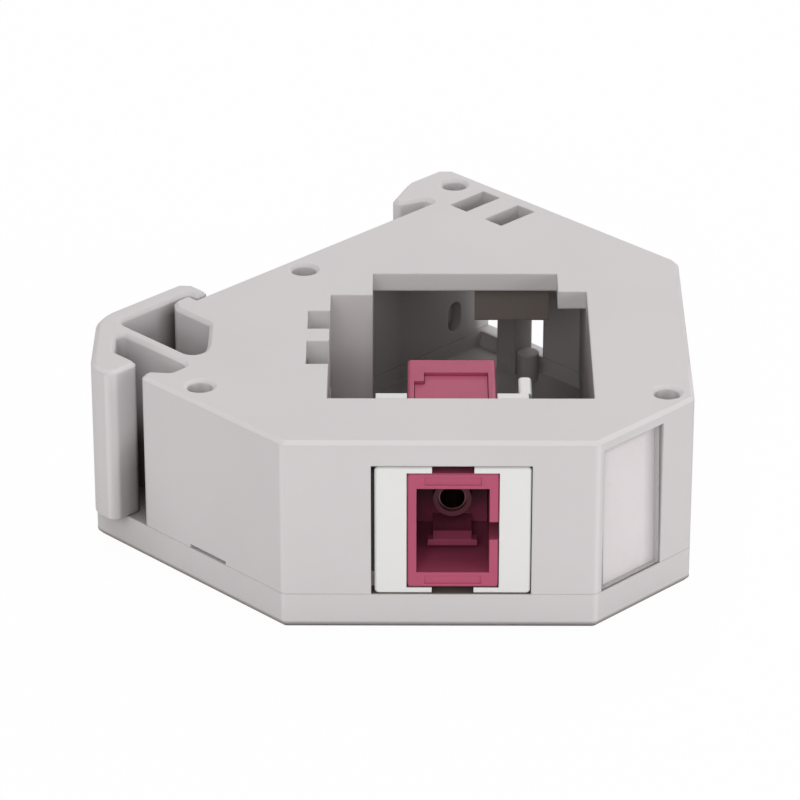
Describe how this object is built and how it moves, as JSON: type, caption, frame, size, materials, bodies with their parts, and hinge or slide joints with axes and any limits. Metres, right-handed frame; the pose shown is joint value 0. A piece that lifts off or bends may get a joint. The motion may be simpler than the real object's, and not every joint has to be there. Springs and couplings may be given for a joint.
{
  "type": "din rail sc keystone adapter",
  "caption": "Rail-mounted plastic housing with a spring latch, a fixed hook and a port at 45 degrees that holds a fibre adapter in a snap-in jack frame.",
  "frame": {"origin": "centre of the bounding box on the cover's flat face", "axes": "+Z through the housing's thickness, away from the cover; the port faces -Y; the rail lies across the -X+Y side at 45 degrees"},
  "size_m": [0.0614, 0.0668, 0.021],
  "materials": {
    "housing_grey": "fine moulded grain",
    "frame_white": "smooth satin",
    "adapter_violet": "semi-gloss",
    "sleeve_bronze": "phosphor bronze",
    "card_white": "plain card",
    "clear_cover": "clear, slightly frosted"
  },
  "bodies": {
    "root": {"housing_shell": "housing_grey", "housing_cover": "housing_grey", "keystone_frame": "frame_white", "adapter_body": "adapter_violet", "adapter_lid": "adapter_violet", "sleeve_holder_front": "adapter_violet", "sleeve_holder_rear": "adapter_violet", "split_sleeve": "sleeve_bronze", "label_card": "card_white", "label_window": "clear_cover"}
  },
  "joints": []
}
